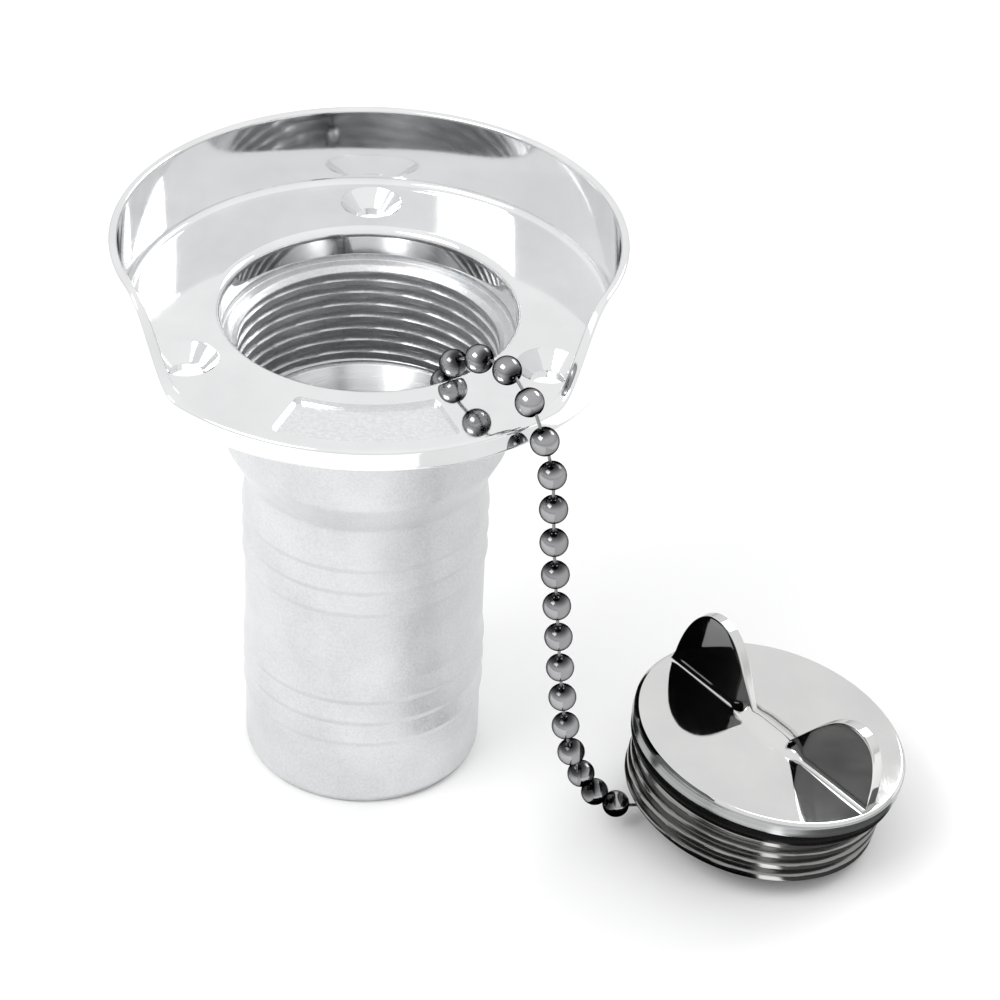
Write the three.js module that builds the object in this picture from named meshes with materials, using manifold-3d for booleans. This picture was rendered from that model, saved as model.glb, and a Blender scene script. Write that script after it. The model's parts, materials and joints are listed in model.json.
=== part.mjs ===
// A cast stainless deck filler for a boat, standing on its hose neck with its screw cap off.
// The cap lies tilted on the same surface and is kept from getting lost by a ball chain.
// Each bead is a hollow shell, and each link is a small dumbbell whose heads sit inside two beads.
// Millimetres, +Z up. The filler's axis is vertical while the parts are made, and the finished
// assembly is then moved so that it stands on z = 0 with its footprint centred on the origin.
import * as THREE from 'three';
import { mergeVertices } from 'three/addons/utils/BufferGeometryUtils.js';
import Module from 'manifold-3d';

const wasm = await Module();
wasm.setup();

// ---- Driving dimensions -------------------------------------------------------------------
const ROUND_SEGMENTS = 40; // facets round the large turned shapes
const SMALL_SEGMENTS = 16; // facets round screws and holes
const GAP = 0.3; // clearance between pieces that touch

// Filler: heights are above the neck's foot.
const DECK_Z = 85.5; // face of the deck plate
const FLANGE_R = 40;
const FLANGE_THICKNESS = 3.8;
const RIM_HEIGHT = 13.4; // splash rim above the deck plate
const RIM_WALL = 1.6;
const RIM_EDGE = 0.5; // chamfer on the rim's top
const RIM_OPEN_X = 28; // half width of the opening at the deck plate
const RIM_FULL_X = 36.7; // half width where the rim reaches its full height
const HUB_R = 23;
const HUB_STRAIGHT_Z = 62.5; // the hub is straight above this height
const HUB_CONE_Z = 56.1; // and has met the neck at this one
const NECK_R = 19.8;
const NECK_BORE_R = 17.5;
const RIDGE_HEIGHT = 0.4;
const RIDGE_LENGTH = 4.4;
const RIDGE_GROUP_TOPS = [52.3, 25.5]; // each group holds three hose ridges, downwards from here
const RIDGES_PER_GROUP = 3;
const FOOT_CHAMFER = 1.2;
const SEAT_R = 23.1; // counterbore that takes the cap's disc
const SEAT_DEPTH = 5.7;
const SEAT_CHAMFER = 0.4;
const THREAD_PITCH = 2.309; // 11 threads to the inch
const THREAD_MINOR_R = 20.6; // bore of the internal thread
const THREAD_LEAD_IN = 0.8; // chamfer at the top of the thread
const THREAD_END_Z = 61.5;
const BORE_CONE_Z = 56.5;
const SCREW_CIRCLE_R = 31.7;
const SCREW_ANGLES = [90, 210, 330];
const SCREW_HOLE_R = 2.5;
const COUNTERSINK_R = 5.1;
const PANEL_INNER_R = 27.6; // recessed blank name panel in front of the bore
const PANEL_OUTER_R = 37.2;
const PANEL_HALF_ANGLE = 22.2;
const PANEL_DEPTH = 0.7;

// Cap: heights are above its open end.
const CAP_HEIGHT = 14.6;
const CAP_R = 23;
const CAP_DISC_THICKNESS = 2.6;
const CAP_BEVEL = 0.6;
const RING_GROOVE_R = 19.5;
const RING_GROOVE_HEIGHT = 2.9;
const CAP_THREAD_R = 21.5;
const CAP_THREAD_ROOT_R = 20.3;
const CAP_THREAD_TURNS = 3;
const CAP_THREAD_START = 1.2;
const CAP_BORE_R = 17.4;
const CAP_TOP_THICKNESS = 3.2;
const BOSS_R = 5;
const BOSS_HEIGHT = 4;
const BOSS_HOLE_COVER = 2.5; // metal left above the boss's blind hole
const FIN_INNER = 4.6; // fins: distances from the cap's axis along the diameter
const FIN_OUTER = 22;
const FIN_PEAK = 15.6; // where the crest is highest
const FIN_HEIGHT = 12.3;
const FIN_THICKNESS = 2.2;
const FIN_SADDLE_HEIGHT = 1.6;
const FIN_SADDLE_HALF_BASE = 2.4;
const FIN_SADDLE_HALF_TOP = 0.9;
const FIN_SUNK = 0.5; // how far the fins start below the disc's face
const FIN_ANGLE = -47; // direction of the fins' diameter
const RING_SECTION_R = 1.25;
const RING_CENTRE_R = 21.05;
const CAP_TILT = 10.5; // the cap leans towards +X, its left edge raised over the chain
const CAP_TOP_CENTRE = new THREE.Vector2(67.1, -20.7);

// Screws and the two plates that hold the chain's ends.
const PLATE_THICKNESS = 0.6;
const PLATE_LINK_HOLE_R = 0.56;
const PLATE_WIDTH = 5;
const PLATE_TAB = 4.6; // length of the bent tab
const PLATE_TAB_HOLE = 2.9; // height of the link's hole in the tab
const ANCHOR_ARM = 6.5; // screw to tab
const CAP_ARM = 10.5;
const CAP_PLATE_END = 2; // metal past the link hole of the cap's flat plate
const ANCHOR_ANGLE = -53; // where the anchor sits on the neck's inner wall
const ANCHOR_Z = 53;
const ANCHOR_TAP_DEPTH = 1.6; // blind hole in the neck's wall
const ANCHOR_STAND_OFF = GAP * 1.5; // the plate is flat and the wall behind it is curved
const PIVOT_SHANK_R = 1.4;
const PIVOT_HOLE_R = 1.75;
const PIVOT_HEAD_R = 3;
const PIVOT_HEAD_HEIGHT = 1.5;
const SCREW_SLOT = 0.7;
const WASHER_R = 3.5;
const WASHER_THICKNESS = 0.6;

// Ball chain
const BEAD_COUNT = 24;
const BEAD_R = 2.225;
const BEAD_INNER_R = 2;
const BEAD_HOLE_R = 0.5;
const POLE_R = 2.1; // from a bead's centre to the middle of its wall, where a link pivots
const BEAD_SEGMENTS = 8;
const PITCH = 6.4;
const HEAD_INSET = 0.8; // from a bead's centre to the link head inside it, on a straight run
const HEAD_R = 0.62;
const ROD_R = 0.26;
const LINK_SEGMENTS = 6;
const TAB_TO_BEAD = 4.4; // from a plate's link hole to the centre of the nearest bead

// ---- Materials ----------------------------------------------------------------------------
function metal(color, roughness) {
  return new THREE.MeshStandardMaterial({ color, roughness, metalness: 1 });
}
const polishedSteel = metal(0xe4e6e6, 0.08);
const beadSteel = metal(0xa9abad, 0.15);
const linkSteel = metal(0x77797b, 0.3);
const hardwareSteel = metal(0xbfc1c3, 0.3);
const blackRubber = new THREE.MeshStandardMaterial({ color: 0x0b0b0c, roughness: 0.35, metalness: 0 });

// ---- Solid helpers ------------------------------------------------------------------------
function toSolid(geometry) {
  const bare = geometry.clone();
  bare.deleteAttribute('normal');
  bare.deleteAttribute('uv');
  const merged = mergeVertices(bare, 1e-4);
  const corners = [];
  for (let i = 0; i < merged.index.count; i += 3) {
    const [a, b, c] = [0, 1, 2].map((k) => merged.index.getX(i + k));
    if (a !== b && b !== c && c !== a) corners.push(a, b, c);
  }
  const mesh = new wasm.Mesh({
    numProp: 3,
    vertProperties: new Float32Array(merged.attributes.position.array),
    triVerts: new Uint32Array(corners),
  });
  return new wasm.Manifold(mesh);
}

function toGeometry(solid) {
  const mesh = solid.getMesh();
  const geometry = new THREE.BufferGeometry();
  geometry.setAttribute('position', new THREE.BufferAttribute(mesh.vertProperties, 3));
  geometry.setIndex(new THREE.BufferAttribute(mesh.triVerts, 1));
  return geometry;
}

// Turns a closed profile of [radius, height] points, listed anticlockwise, about the Z axis.
function turned(profile, segments = ROUND_SEGMENTS) {
  const points = profile.map(([r, z]) => new THREE.Vector2(r, z));
  const [first, last] = [points[0], points[points.length - 1]];
  if (first.x > 0 || last.x > 0) points.push(first.clone());
  return new THREE.LatheGeometry(points, segments).rotateX(Math.PI / 2);
}

function rod(radius, bottom, top, segments = SMALL_SEGMENTS) {
  return turned([[0, bottom], [radius, bottom], [radius, top], [0, top]], segments);
}

function named(name, geometry, material) {
  const mesh = new THREE.Mesh(geometry, material);
  mesh.name = name;
  return mesh;
}

const radians = THREE.MathUtils.degToRad;

// ---- Filler body --------------------------------------------------------------------------
function neckRidges() {
  const outline = [];
  for (const groupTop of [...RIDGE_GROUP_TOPS].reverse()) {
    for (let i = RIDGES_PER_GROUP; i > 0; i -= 1) {
      const foot = groupTop - i * RIDGE_LENGTH;
      outline.push([NECK_R, foot], [NECK_R + RIDGE_HEIGHT, foot + RIDGE_LENGTH / 4]);
    }
    outline.push([NECK_R, groupTop]);
  }
  return outline;
}

function fillerCasting() {
  const flangeBottom = DECK_Z - FLANGE_THICKNESS;
  const seatZ = DECK_Z - SEAT_DEPTH;
  return toSolid(turned([
    [NECK_BORE_R, 0],
    [NECK_R - FOOT_CHAMFER / 2, 0],
    [NECK_R, FOOT_CHAMFER],
    ...neckRidges(),
    [NECK_R, HUB_CONE_Z],
    [HUB_R, HUB_STRAIGHT_Z],
    [HUB_R, flangeBottom],
    [FLANGE_R, flangeBottom],
    [FLANGE_R, DECK_Z],
    [SEAT_R + SEAT_CHAMFER, DECK_Z],
    [SEAT_R, DECK_Z - SEAT_CHAMFER],
    [SEAT_R, seatZ],
    [THREAD_MINOR_R + THREAD_LEAD_IN, seatZ],
    [THREAD_MINOR_R, seatZ - THREAD_LEAD_IN],
    [THREAD_MINOR_R, THREAD_END_Z],
    [NECK_BORE_R, BORE_CONE_Z],
  ]));
}

// The rim stands on the flange's edge and sweeps down to the deck plate at the front.
function splashRim() {
  const top = DECK_Z + RIM_HEIGHT;
  const root = DECK_Z - 1;
  const ring = toSolid(turned([
    [FLANGE_R - RIM_WALL - 0.4, root],
    [FLANGE_R, root],
    [FLANGE_R, top - RIM_EDGE],
    [FLANGE_R - RIM_EDGE, top],
    [FLANGE_R - RIM_WALL + 0.3, top],
  ]));
  const opening = new THREE.Shape();
  const sweep = (RIM_FULL_X - RIM_OPEN_X) * 0.6;
  opening.moveTo(-RIM_OPEN_X, DECK_Z);
  opening.lineTo(RIM_OPEN_X, DECK_Z);
  opening.bezierCurveTo(
    RIM_OPEN_X + sweep, DECK_Z + 1, RIM_FULL_X - sweep, top - 1, RIM_FULL_X, top);
  opening.lineTo(RIM_FULL_X, top + 2);
  opening.lineTo(-RIM_FULL_X, top + 2);
  opening.lineTo(-RIM_FULL_X, top);
  opening.bezierCurveTo(
    -RIM_FULL_X + sweep, top - 1, -RIM_OPEN_X - sweep, DECK_Z + 1, -RIM_OPEN_X, DECK_Z);
  const cut = new THREE.ExtrudeGeometry(opening, {
    depth: FLANGE_R + 5, bevelEnabled: false, curveSegments: 6,
  });
  // The outline is drawn in X and Z, and the extrusion runs from the axis to the front, -Y.
  return ring.subtract(toSolid(cut.rotateX(Math.PI / 2)));
}

function countersunkHole(angle) {
  const depth = COUNTERSINK_R - SCREW_HOLE_R;
  const tool = turned([
    [0, DECK_Z - FLANGE_THICKNESS - 1],
    [SCREW_HOLE_R, DECK_Z - FLANGE_THICKNESS - 1],
    [SCREW_HOLE_R, DECK_Z - depth],
    [COUNTERSINK_R, DECK_Z],
    [COUNTERSINK_R, DECK_Z + 1],
    [0, DECK_Z + 1],
  ], SMALL_SEGMENTS);
  const a = radians(angle);
  return toSolid(tool.translate(SCREW_CIRCLE_R * Math.cos(a), SCREW_CIRCLE_R * Math.sin(a), 0));
}

function namePanel() {
  const start = radians(-90 - PANEL_HALF_ANGLE);
  const end = radians(-90 + PANEL_HALF_ANGLE);
  const outline = new THREE.Shape();
  outline.absarc(0, 0, PANEL_OUTER_R, start, end, false);
  outline.absarc(0, 0, PANEL_INNER_R, end, start, true);
  const slab = new THREE.ExtrudeGeometry(outline, {
    depth: PANEL_DEPTH + 1, bevelEnabled: false, curveSegments: 8,
  });
  return toSolid(slab.translate(0, 0, DECK_Z - PANEL_DEPTH));
}

// Places a geometry made along +Z so that it points inwards from the neck's wall at the anchor.
function atAnchor(geometry) {
  const a = radians(ANCHOR_ANGLE);
  const inwards = new THREE.Vector3(-Math.cos(a), -Math.sin(a), 0);
  const up = new THREE.Vector3(0, 0, 1);
  const side = new THREE.Vector3().crossVectors(inwards, up);
  const basis = new THREE.Matrix4().makeBasis(up, side, inwards);
  basis.setPosition(inwards.clone().multiplyScalar(-NECK_BORE_R).setZ(ANCHOR_Z));
  return geometry.applyMatrix4(basis);
}

function fillerBody() {
  let solid = fillerCasting().add(splashRim());
  for (const angle of SCREW_ANGLES) solid = solid.subtract(countersunkHole(angle));
  solid = solid.subtract(namePanel());
  solid = solid.subtract(toSolid(atAnchor(rod(PIVOT_HOLE_R, -ANCHOR_TAP_DEPTH, 2))));
  return named('filler_body', toGeometry(solid), polishedSteel);
}

// ---- Bent plates, pivot screws and washer ---------------------------------------------------
// A plate lies in the XY plane with its screw hole at the origin, and its arm runs along +X.
function plateStrip(length) {
  const half = PLATE_WIDTH / 2;
  const outline = new THREE.Shape();
  outline.absarc(0, 0, half, radians(90), radians(270), false);
  outline.lineTo(length, -half);
  outline.lineTo(length, half);
  const slab = new THREE.ExtrudeGeometry(outline, {
    depth: PLATE_THICKNESS, bevelEnabled: false, curveSegments: 6,
  });
  return toSolid(slab).subtract(toSolid(rod(PIVOT_HOLE_R, -1, PLATE_THICKNESS + 1)));
}

// The anchor's plate ends in a tab bent up along +Z, with a hole for the chain's first link.
function bentPlate() {
  const tab = new THREE.BoxGeometry(PLATE_THICKNESS, PLATE_WIDTH, PLATE_TAB);
  tab.translate(ANCHOR_ARM, 0, PLATE_TAB / 2);
  const linkHole = rod(PLATE_LINK_HOLE_R, -2, 2, BEAD_SEGMENTS).rotateY(Math.PI / 2);
  linkHole.translate(ANCHOR_ARM, 0, PLATE_TAB_HOLE);
  return plateStrip(ANCHOR_ARM + PLATE_THICKNESS / 2).add(toSolid(tab)).subtract(toSolid(linkHole));
}

// The cap's plate is flat, and the chain's last link passes through a hole near its end.
function flatPlate() {
  const linkHole = rod(PLATE_LINK_HOLE_R, -1, PLATE_THICKNESS + 1, BEAD_SEGMENTS);
  return plateStrip(CAP_ARM + CAP_PLATE_END).subtract(toSolid(linkHole.translate(CAP_ARM, 0, 0)));
}

// A pan-head screw: its shank runs down from z = 0, and its head rises from there.
function pivotScrew(shankLength) {
  const crown = PIVOT_HEAD_HEIGHT * 0.6;
  const body = turned([
    [0, -shankLength],
    [PIVOT_SHANK_R, -shankLength],
    [PIVOT_SHANK_R, 0],
    [PIVOT_HEAD_R, 0],
    [PIVOT_HEAD_R, crown],
    [PIVOT_HEAD_R * 0.7, PIVOT_HEAD_HEIGHT],
    [0, PIVOT_HEAD_HEIGHT],
  ], SMALL_SEGMENTS);
  const slot = new THREE.BoxGeometry(PIVOT_HEAD_R * 2.2, SCREW_SLOT, crown);
  return toSolid(body).subtract(toSolid(slot.translate(0, 0, PIVOT_HEAD_HEIGHT)));
}

function anchorPieces() {
  const plate = toGeometry(bentPlate()).translate(0, 0, ANCHOR_STAND_OFF);
  const seat = ANCHOR_STAND_OFF + PLATE_THICKNESS + GAP;
  const screw = toGeometry(pivotScrew(seat + ANCHOR_TAP_DEPTH - GAP)).translate(0, 0, seat);
  return [
    named('anchor_screw', atAnchor(screw), hardwareSteel),
    named('anchor_eyelet', atAnchor(plate), hardwareSteel),
  ];
}

// ---- Cap ----------------------------------------------------------------------------------
function capThread() {
  const outline = [];
  for (let i = 0; i < CAP_THREAD_TURNS; i += 1) {
    const z = CAP_THREAD_START + i * THREAD_PITCH;
    outline.push([CAP_THREAD_R, z + THREAD_PITCH * 0.15], [CAP_THREAD_R, z + THREAD_PITCH * 0.35]);
    outline.push([CAP_THREAD_ROOT_R, z + THREAD_PITCH * 0.85]);
  }
  return outline;
}

// Half a leaf: steep outside, rounded on top and sloping down towards the middle of the cap.
function fin(mirror) {
  const leaf = new THREE.Shape();
  leaf.moveTo(FIN_INNER, -FIN_SUNK);
  leaf.lineTo(FIN_OUTER, -FIN_SUNK);
  leaf.bezierCurveTo(
    FIN_OUTER, FIN_HEIGHT * 0.55, FIN_OUTER - 2, FIN_HEIGHT, FIN_PEAK, FIN_HEIGHT);
  leaf.bezierCurveTo(
    FIN_PEAK - 4.8, FIN_HEIGHT, FIN_INNER + 3.8, FIN_HEIGHT * 0.6, FIN_INNER, 0.6);
  const slab = new THREE.ExtrudeGeometry(leaf, {
    depth: FIN_THICKNESS, bevelEnabled: false, curveSegments: 8,
  });
  slab.translate(0, 0, -FIN_THICKNESS / 2).rotateX(Math.PI / 2);
  return toSolid(mirror ? slab.rotateZ(Math.PI) : slab);
}

function finSaddle() {
  const section = new THREE.Shape();
  section.moveTo(-FIN_SADDLE_HALF_BASE, -FIN_SUNK);
  section.lineTo(FIN_SADDLE_HALF_BASE, -FIN_SUNK);
  section.lineTo(FIN_SADDLE_HALF_TOP, FIN_SADDLE_HEIGHT);
  section.lineTo(-FIN_SADDLE_HALF_TOP, FIN_SADDLE_HEIGHT);
  const length = 2 * FIN_INNER + 4; // it runs 2 mm into each fin
  const bar = new THREE.ExtrudeGeometry(section, { depth: length, bevelEnabled: false });
  return toSolid(bar.translate(0, 0, -length / 2).rotateX(Math.PI / 2).rotateZ(Math.PI / 2));
}

function capBody() {
  const discBottom = CAP_HEIGHT - CAP_DISC_THICKNESS;
  const grooveBottom = discBottom - RING_GROOVE_HEIGHT;
  const ceiling = CAP_HEIGHT - CAP_TOP_THICKNESS;
  const bossEnd = ceiling - BOSS_HEIGHT;
  const body = toSolid(turned([
    [0, bossEnd],
    [BOSS_R, bossEnd],
    [BOSS_R, ceiling],
    [CAP_BORE_R, ceiling],
    [CAP_BORE_R, 0],
    [CAP_THREAD_ROOT_R, 0],
    [CAP_THREAD_ROOT_R, CAP_THREAD_START],
    ...capThread(),
    [CAP_THREAD_R, grooveBottom - 0.6],
    [CAP_THREAD_R, grooveBottom],
    [RING_GROOVE_R, grooveBottom],
    [RING_GROOVE_R, discBottom],
    [CAP_R, discBottom],
    [CAP_R, CAP_HEIGHT - CAP_BEVEL],
    [CAP_R - CAP_BEVEL, CAP_HEIGHT],
    [0, CAP_HEIGHT],
  ]));
  const screwHole = toSolid(rod(PIVOT_HOLE_R, bossEnd - 1, CAP_HEIGHT - BOSS_HOLE_COVER));
  const grips = fin(false).add(fin(true)).add(finSaddle());
  const placed = toGeometry(grips).rotateZ(radians(FIN_ANGLE)).translate(0, 0, CAP_HEIGHT);
  return named('cap', toGeometry(body.subtract(screwHole).add(toSolid(placed))), polishedSteel);
}

function sealRing() {
  const z = CAP_HEIGHT - CAP_DISC_THICKNESS - RING_GROOVE_HEIGHT / 2;
  const section = [];
  for (let i = 0; i < 8; i += 1) {
    const a = (i / 8) * 2 * Math.PI;
    section.push([RING_CENTRE_R + RING_SECTION_R * Math.cos(a), z + RING_SECTION_R * Math.sin(a)]);
  }
  return named('o_ring', toGeometry(toSolid(turned(section))), blackRubber);
}

// Everything that hangs under the boss is made upwards and then turned over.
function capHardware() {
  const bossEnd = CAP_HEIGHT - CAP_TOP_THICKNESS - BOSS_HEIGHT;
  const plateZ = GAP;
  const washerZ = plateZ + PLATE_THICKNESS + GAP;
  const headZ = washerZ + WASHER_THICKNESS + GAP;
  const plate = toGeometry(flatPlate()).translate(0, 0, plateZ);
  const washer = turned([
    [PIVOT_HOLE_R, washerZ],
    [WASHER_R, washerZ],
    [WASHER_R, washerZ + WASHER_THICKNESS],
    [PIVOT_HOLE_R, washerZ + WASHER_THICKNESS],
  ], SMALL_SEGMENTS);
  const screw = toGeometry(pivotScrew(headZ + BOSS_HEIGHT - GAP)).translate(0, 0, headZ);
  const turnOver = (geometry) => geometry.rotateY(Math.PI).translate(0, 0, bossEnd);
  return [
    named('cap_eyelet', turnOver(plate), hardwareSteel),
    named('swivel_washer', turnOver(toGeometry(toSolid(washer))), hardwareSteel),
    named('swivel_screw', turnOver(screw), hardwareSteel),
  ];
}

function capAssembly() {
  const group = new THREE.Group();
  group.add(capBody(), sealRing(), ...capHardware());
  const tilt = radians(CAP_TILT);
  group.rotation.y = tilt;
  group.position.set(
    CAP_TOP_CENTRE.x - CAP_HEIGHT * Math.sin(tilt),
    CAP_TOP_CENTRE.y,
    CAP_THREAD_ROOT_R * Math.sin(tilt));
  return group;
}

// ---- Ball chain -----------------------------------------------------------------------------
function beadShell() {
  const outer = [];
  const inner = [];
  const outerStart = Math.asin(BEAD_HOLE_R / BEAD_R);
  const innerStart = Math.asin(BEAD_HOLE_R / BEAD_INNER_R);
  const [outerSteps, innerSteps] = [5, 4];
  for (let i = 0; i <= outerSteps; i += 1) {
    const a = outerStart + (i / outerSteps) * (Math.PI - 2 * outerStart);
    outer.push([BEAD_R * Math.sin(a), -BEAD_R * Math.cos(a)]);
  }
  for (let i = 0; i <= innerSteps; i += 1) {
    const a = innerStart + (i / innerSteps) * (Math.PI - 2 * innerStart);
    inner.push([BEAD_INNER_R * Math.sin(a), BEAD_INNER_R * Math.cos(a)]);
  }
  return toGeometry(toSolid(turned([...outer, ...inner], BEAD_SEGMENTS)));
}

function linkDumbbell() {
  const reach = PITCH / 2 - HEAD_INSET; // middle of the link to a head's centre
  const neck = Math.asin(ROD_R / HEAD_R);
  const half = [];
  for (let i = 0; i <= 3; i += 1) {
    const a = neck + (i / 3) * (Math.PI - neck);
    half.push([i === 3 ? 0 : HEAD_R * Math.sin(a), reach - HEAD_R * Math.cos(a)]);
  }
  const lower = half.map(([r, z]) => [r, -z]).reverse();
  return toGeometry(toSolid(turned([...lower, ...half], LINK_SEGMENTS)));
}

// The chain leaves its anchor inside the neck, climbs out over the lip, crosses the open front
// of the deck plate, hangs down beside the neck and runs in under the cap's raised edge.
function chainRoute(anchorHole, capHole) {
  const points = [
    [10.2, -13.1, 71],
    [11, -14.4, 77.4],
    [11.9, -16.6, 83],
    [13.1, -19.6, 88.1],
    [16.8, -23.5, 91.4],
    [20.8, -28.4, 92.5],
    [23.9, -33.2, 90.3],
    [26.2, -35, 85],
    [27.7, -34.8, 78.6],
    [28.6, -34.3, 66],
    [30.3, -33, 46.3],
    [31.6, -32.1, 33.5],
    [33.7, -30.5, 21],
    [38.3, -27, 9.6],
    [42, -24.8, 5.2],
    [46.5, -23.3, 4.1],
    [51, -22.2, 6],
  ].map((p) => new THREE.Vector3(...p));
  return new THREE.CatmullRomCurve3([anchorHole, ...points, capHole], false, 'centripetal');
}

// Steps along the route so that each centre lies one pitch, in a straight line, from the last.
function beadCentres(route) {
  const centres = [];
  const samples = route.getPoints(6000);
  let last = samples[0];
  let step = TAB_TO_BEAD;
  for (const point of samples) {
    if (centres.length === BEAD_COUNT) break;
    if (point.distanceTo(last) >= step) {
      centres.push(point);
      last = point;
      step = PITCH;
    }
  }
  return centres;
}

function pointedAlong(mesh, centre, direction) {
  mesh.position.copy(centre);
  const up = new THREE.Vector3(0, 0, 1);
  mesh.quaternion.setFromUnitVectors(up, direction.clone().normalize());
  return mesh;
}

// Each bead lines up with its two neighbours. A link runs from the hole in one bead's pole to the
// hole in the next bead's pole, and the first and last links run to the holes in the plates.
function ballChain(anchorHole, capHole) {
  const group = new THREE.Group();
  const shell = beadShell();
  const dumbbell = linkDumbbell();
  const stops = [anchorHole, ...beadCentres(chainRoute(anchorHole, capHole)), capHole];
  const poles = [anchorHole];
  for (let i = 1; i <= BEAD_COUNT; i += 1) {
    const along = stops[i + 1].clone().sub(stops[i - 1]).normalize();
    const bead = named(`bead_${String(i).padStart(2, '0')}`, shell, beadSteel);
    group.add(pointedAlong(bead, stops[i], along));
    poles.push(stops[i].clone().addScaledVector(along, -POLE_R));
    poles.push(stops[i].clone().addScaledVector(along, POLE_R));
  }
  poles.push(capHole);
  for (let i = 0; i <= BEAD_COUNT; i += 1) {
    const [start, end] = [poles[2 * i], poles[2 * i + 1]];
    const middle = start.clone().lerp(end, 0.5);
    const link = named(`link_${String(i).padStart(2, '0')}`, dumbbell, linkSteel);
    group.add(pointedAlong(link, middle, end.clone().sub(start)));
  }
  return group;
}

// ---- Assembly -------------------------------------------------------------------------------
function anchorLinkHole() {
  const hole = new THREE.BufferGeometry();
  const local = new Float32Array([ANCHOR_ARM, 0, ANCHOR_STAND_OFF + PLATE_TAB_HOLE]);
  hole.setAttribute('position', new THREE.BufferAttribute(local, 3));
  return new THREE.Vector3().fromBufferAttribute(atAnchor(hole).attributes.position, 0);
}

function capLinkHole(cap) {
  const bossEnd = CAP_HEIGHT - CAP_TOP_THICKNESS - BOSS_HEIGHT;
  const local = new THREE.Vector3(-CAP_ARM, 0, bossEnd - GAP - PLATE_THICKNESS / 2);
  cap.updateMatrixWorld(true);
  return local.applyMatrix4(cap.matrixWorld);
}

const assembly = new THREE.Group();
const cap = capAssembly();
assembly.add(fillerBody(), ...anchorPieces(), cap);
assembly.add(ballChain(anchorLinkHole(), capLinkHole(cap)));

const bounds = new THREE.Box3().setFromObject(assembly, true);
const centre = bounds.getCenter(new THREE.Vector3());
assembly.position.set(-centre.x, -centre.y, -bounds.min.z);

const model = new THREE.Group();
model.add(assembly);

export default model;
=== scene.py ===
# %% [markdown]
# # A deck filler, its winged cap and the ball chain between them
#
# This is a boat fitting: a cast stainless pipe with a polished deck plate and a splash rim, a screw
# cap with two wings, and a ball chain that keeps the cap from going overboard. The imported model
# fixes where each piece is and how it moves. The cells below build the surfaces that are seen:
# fillets, threads, rounded lips, hollow beads, and a finish for each kind of metal and rubber.

# %% Load the frame
import json
import math

import bmesh
import bpy
from mathutils import Matrix, Vector


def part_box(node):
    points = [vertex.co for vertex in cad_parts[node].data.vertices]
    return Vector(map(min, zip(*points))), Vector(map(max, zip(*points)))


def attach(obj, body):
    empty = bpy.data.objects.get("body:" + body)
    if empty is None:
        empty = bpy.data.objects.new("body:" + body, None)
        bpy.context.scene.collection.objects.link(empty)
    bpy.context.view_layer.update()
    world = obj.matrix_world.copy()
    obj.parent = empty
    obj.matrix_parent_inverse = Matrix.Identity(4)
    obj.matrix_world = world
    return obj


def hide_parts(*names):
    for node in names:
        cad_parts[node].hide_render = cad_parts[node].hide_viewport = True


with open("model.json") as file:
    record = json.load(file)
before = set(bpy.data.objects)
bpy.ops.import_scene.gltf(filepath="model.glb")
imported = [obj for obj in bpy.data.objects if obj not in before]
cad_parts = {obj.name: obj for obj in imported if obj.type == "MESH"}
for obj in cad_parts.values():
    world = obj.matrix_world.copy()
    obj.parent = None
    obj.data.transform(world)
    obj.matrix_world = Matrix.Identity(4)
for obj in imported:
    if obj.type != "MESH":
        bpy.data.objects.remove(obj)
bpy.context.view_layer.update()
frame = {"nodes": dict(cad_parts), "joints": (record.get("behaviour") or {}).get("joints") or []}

# %% [markdown]
# ## Where things are
#
# Everything is drawn in millimetres round its own upright axis, because a lathe operator thinks that
# way, and each finished mesh is then placed in the frame by one matrix. The filler's axis is the
# middle of its box. The cap's axis comes from the joint that it spins on.

# %% Places taken from the frame
MM = 0.001
JOINTS = {joint["name"]: joint for joint in frame["joints"]}
FILLER_LOW, FILLER_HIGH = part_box("filler_body")
FILLER_FOOT = Vector(((FILLER_LOW.x + FILLER_HIGH.x) / 2, (FILLER_LOW.y + FILLER_HIGH.y) / 2, 0))
FILLER_PLACE = Matrix.Translation(FILLER_FOOT) @ Matrix.Scale(MM, 4)

CAP_ROOT_R = 20.3
CAP_UP = Vector(JOINTS["cap_swivel"]["axis"]).normalized()
CAP_TILT = math.acos(CAP_UP.z)
CAP_MOUTH_Z = CAP_ROOT_R * MM * math.sin(CAP_TILT)
SWIVEL_POINT = Vector(JOINTS["cap_swivel"]["pos_m"])
CAP_MOUTH = SWIVEL_POINT + CAP_UP * (CAP_MOUTH_Z - SWIVEL_POINT.z) / CAP_UP.z
CAP_TURN = Matrix.Rotation(CAP_TILT, 4, "Y")
CAP_PLACE = Matrix.Translation(CAP_MOUTH) @ CAP_TURN @ Matrix.Scale(MM, 4)
print("filler foot", FILLER_FOOT[:], "cap mouth", CAP_MOUTH[:], "tilt", math.degrees(CAP_TILT))

# %% [markdown]
# ## Helpers for turned shapes
#
# A turned piece is an outline swung round an axis. Screw and Lathe modifiers do this for one fixed
# outline. Here the outline is a function of the angle instead, so the splash rim can rise and fall
# on its way round without a cut. Sharp corners would look like a toy, so each corner of an outline
# has a radius, and an extra row beside each arc keeps the flat next to it flat in reflections.

# %% Outlines with rounded corners
SUPPORT = 0.25  # mm from an arc to the extra row beside it


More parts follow.
